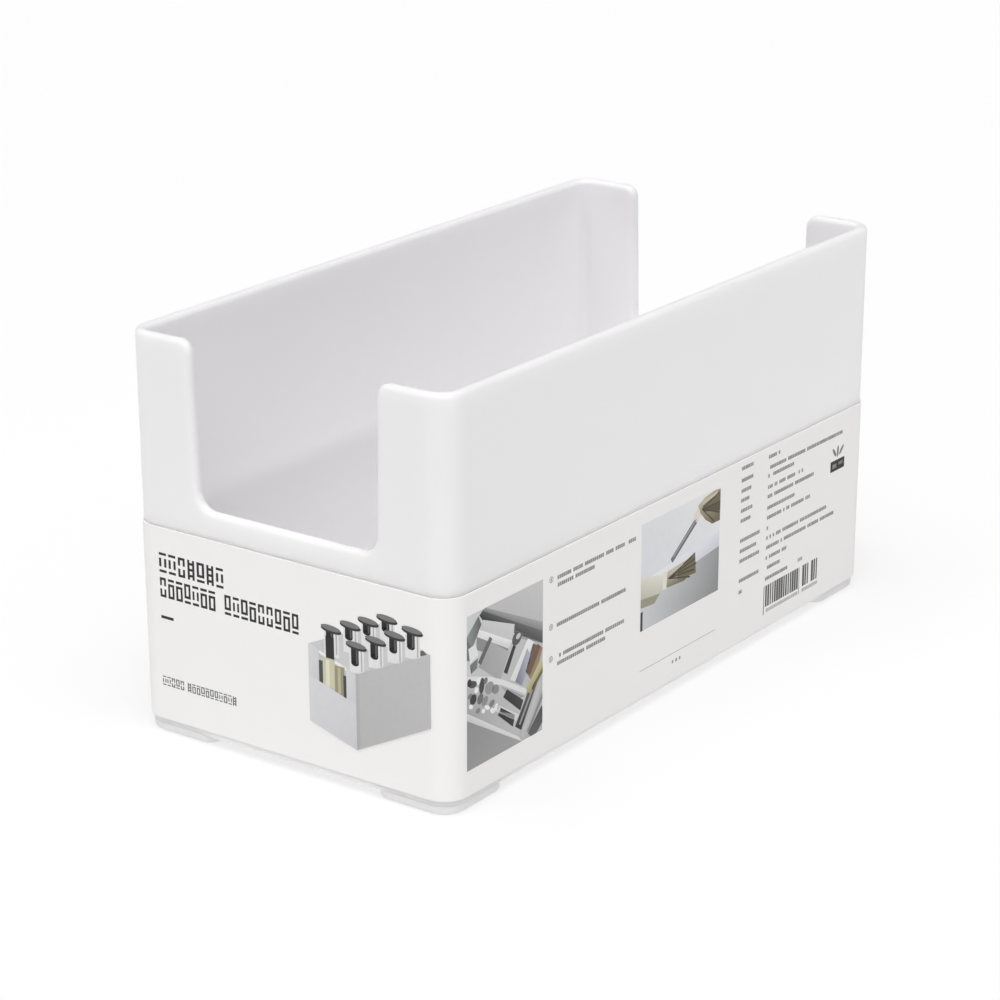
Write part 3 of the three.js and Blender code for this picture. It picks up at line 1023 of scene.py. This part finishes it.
def surface(name, base, roughness, bump, scales, share=0.3, stretch=(1, 1, 1), spread=0.03,
            tint=0.02):
    """A material whose colour, roughness and bump carry the fine grain; its base is one colour, or the
    name of the colours that the mesh holds."""
    material = bpy.data.materials.new(name)
    material.use_nodes = True
    tree = material.node_tree
    grain = add_node(tree, "ShaderNodeGroup",
                     {"Grain Scale": scales[0], "Wave Scale": scales[1], "Wave Share": share,
                      "Stretch": stretch}, node_tree=grain_group()).outputs
    if isinstance(base, str):
        light = add_node(tree, "ShaderNodeAttribute", attribute_name=base).outputs["Color"]
        dark = add_node(tree, "ShaderNodeVectorMath", {"Vector": light, "Scale": 1 - tint},
                        operation="SCALE").outputs["Vector"]
    else:
        light = (*base, 1)
        dark = (*[channel * (1 - tint) for channel in base], 1)
    shade = add_node(tree, "ShaderNodeMix", {"Factor": grain["Cloud"], "A": light, "B": dark},
                     data_type="RGBA")
    rough = add_node(tree, "ShaderNodeMapRange",
                     {"Value": grain["Cloud"], "To Min": roughness - spread,
                      "To Max": roughness + spread})
    relief = add_node(tree, "ShaderNodeBump",
                      {"Strength": 1.0, "Distance": bump, "Height": grain["Height"]})
    shader = tree.nodes["Principled BSDF"].inputs
    shader["IOR"].default_value = SURFACE_IOR
    tree.links.new(enabled(shade.outputs), shader["Base Color"])
    tree.links.new(rough.outputs["Result"], shader["Roughness"])
    tree.links.new(relief.outputs["Normal"], shader["Normal"])
    return material


# ---------------------------------------------------------------- operators


class ORGANIZER_OT_bin(Operator):
    """Builds the moulded bin with its notches, rounded rim and leaning walls"""

    bl_idname = "organizer.bin"
    bl_label = "Moulded bin"

    def execute(self, context):
        sizes = context.scene.organizer_bin
        plastic = surface("satin white plastic", sizes.plastic, roughness=0.36, bump=0.004 * MM,
                          scales=(2600, 60), share=0.25, tint=0.012)
        shader = plastic.node_tree.nodes["Principled BSDF"]
        shader.inputs["Subsurface Weight"].default_value = 1.0
        shader.inputs["Subsurface Radius"].default_value = (1.0, 1.0, 1.0)
        shader.inputs["Subsurface Scale"].default_value = sizes.depth_of_light
        link("bin_shell_moulding", make_bin_mesh(sizes), plastic, BIN_BODY,
             ["bin_shell"])
        return {"FINISHED"}


class ORGANIZER_OT_pads(Operator):
    """Builds the four foot pads"""

    bl_idname = "organizer.pads"
    bl_label = "Foot pads"

    def execute(self, context):
        sizes = context.scene.organizer_pads
        elastomer = surface("soft foot elastomer", sizes.elastomer, roughness=0.75,
                            bump=0.02 * MM, scales=(4200, 300), spread=0.08, tint=0.08)
        for name in PAD_CORNERS:
            link(name + "_pad", make_pad_mesh(name, sizes), elastomer, BIN_BODY,
                 [name])
        return {"FINISHED"}


class ORGANIZER_OT_sleeve(Operator):
    """Builds the card band with its glued lap"""

    bl_idname = "organizer.sleeve"
    bl_label = "Card sleeve"

    def execute(self, context):
        sizes = context.scene.organizer_bin
        settings = context.scene.organizer_sleeve
        card = surface("smooth white card", settings.paper, roughness=0.55, bump=0.006 * MM,
                       scales=(3200, 160), share=0.2, stretch=(1, 1, 0.35), spread=0.05,
                       tint=0.025)
        link("card_sleeve_band", make_sleeve_mesh(sizes, settings), card, SLEEVE_BODY,
             ["card_sleeve"])
        return {"FINISHED"}


class ORGANIZER_OT_print(Operator):
    """Builds the inked shapes on the front and right faces of the sleeve"""

    bl_idname = "organizer.print"
    bl_label = "Print"

    def execute(self, context):
        sizes = context.scene.organizer_bin
        settings = context.scene.organizer_sleeve
        ink = surface("matte printing ink", INK_COLOURS, roughness=0.5, bump=0.003 * MM,
                      scales=(3600, 900), spread=0.04, tint=0.06)
        jobs = (
            ("print_headline", "front", lambda sheet: print_headline(sheet, settings)),
            ("print_product_picture", "front", print_product_picture),
            ("print_drawer_picture", "right", print_drawer_picture),
            ("print_brush_picture", "right", print_brush_picture),
            ("print_side_text", "right", lambda sheet: print_side_text(sheet, settings)),
        )
        for name, face, fill in jobs:
            sheet = PrintSheet(name, face, sizes, settings, ink)
            fill(sheet)
            link(name, sheet.build(), ink, SLEEVE_BODY)
        drop_kits()
        return {"FINISHED"}


class ORGANIZER_OT_stage(Operator):
    """Builds the floor, the light and the camera"""

    bl_idname = "organizer.stage"
    bl_label = "Stage"

    def execute(self, context):
        scene = context.scene
        settings = scene.organizer_stage
        half = settings.floor_size / 2
        mesh = bpy.data.meshes.new("studio_floor")
        mesh.from_pydata([(-half, -half, 0), (half, -half, 0), (half, half, 0), (-half, half, 0)],
                         [], [(0, 1, 2, 3)])
        floor = add_object("studio_floor", mesh)
        pale = bpy.data.materials.new("pale floor")
        pale.use_nodes = True
        shader = pale.node_tree.nodes["Principled BSDF"]
        shader.inputs["Base Color"].default_value = (*settings.floor_colour, 1)
        shader.inputs["Emission Color"].default_value = (1.0, 1.0, 1.0, 1)
        shader.inputs["Emission Strength"].default_value = settings.floor_glow
        shader.inputs["Roughness"].default_value = 0.9
        shader.inputs["Specular IOR Level"].default_value = 0.1
        mesh.materials.append(pale)
        self.light(scene, settings)
        self.camera(scene, settings)
        scene.view_settings.view_transform = "Standard"
        scene.view_settings.look = "None"
        return {"FINISHED"}

    def light(self, scene, settings):
        world = bpy.data.worlds.new("studio")
        world.use_nodes = True
        back = world.node_tree.nodes["Background"]
        back.inputs["Color"].default_value = (*settings.sky_colour, 1)
        back.inputs["Strength"].default_value = settings.sky
        scene.world = world
        # Each lamp: name, strength, and the direction that it stands in, round to the right and up.
        for name, strength, azimuth, height in (
            ("right softbox", settings.right_light, 70, 58),
            ("front softbox", settings.front_light, 0, 56),
            ("left softbox", settings.left_light, -90, 42),
            ("top softbox", settings.top_light, 0, 88),
        ):
            lamp = bpy.data.lights.new(name, "SUN")
            lamp.energy = strength
            lamp.angle = settings.softbox
            add_object(name, lamp).matrix_world = (
                Matrix.Rotation(math.radians(azimuth), 4, "Z")
                @ Matrix.Rotation(math.radians(90 - height), 4, "X"))

    def camera(self, scene, settings):
        data = bpy.data.cameras.new("camera")
        data.lens = settings.lens
        data.sensor_width = settings.sensor
        data.clip_start = 0.01
        data.clip_end = 50.0
        eye = add_object("camera", data)
        turned = (Matrix.Rotation(settings.azimuth, 4, "Z")
                  @ Matrix.Rotation(math.pi / 2 - settings.pitch, 4, "X")
                  @ Matrix.Rotation(settings.roll, 4, "Z"))
        eye.matrix_world = Matrix.Translation(Vector(settings.place)) @ turned
        scene.camera = eye


class ORGANIZER_PT_panel(Panel):
    """Shows a button for each building step"""

    bl_idname = "ORGANIZER_PT_panel"
    bl_label = "Organizer"
    bl_space_type = "VIEW_3D"
    bl_region_type = "UI"
    bl_category = "Organizer"

    def draw(self, context):
        for step in STEPS:
            self.layout.operator(step.bl_idname)


STEPS = (ORGANIZER_OT_stage, ORGANIZER_OT_bin, ORGANIZER_OT_pads, ORGANIZER_OT_sleeve,
         ORGANIZER_OT_print)
GROUPS = {
    "organizer_bin": BinSettings,
    "organizer_pads": PadSettings,
    "organizer_sleeve": SleeveSettings,
    "organizer_stage": StageSettings,
}


def register():
    for group in GROUPS.values():
        bpy.utils.register_class(group)
    for name, group in GROUPS.items():
        setattr(bpy.types.Scene, name, PointerProperty(type=group))
    for step in STEPS:
        bpy.utils.register_class(step)
    bpy.utils.register_class(ORGANIZER_PT_panel)


def unregister():
    bpy.utils.unregister_class(ORGANIZER_PT_panel)
    for step in reversed(STEPS):
        bpy.utils.unregister_class(step)
    for name in GROUPS:
        delattr(bpy.types.Scene, name)
    for group in reversed(GROUPS.values()):
        bpy.utils.unregister_class(group)


def main():
    register()
    for step in STEPS:
        area, name = step.bl_idname.split(".")
        getattr(getattr(bpy.ops, area), name)()


if __name__ == "__main__":
    main()
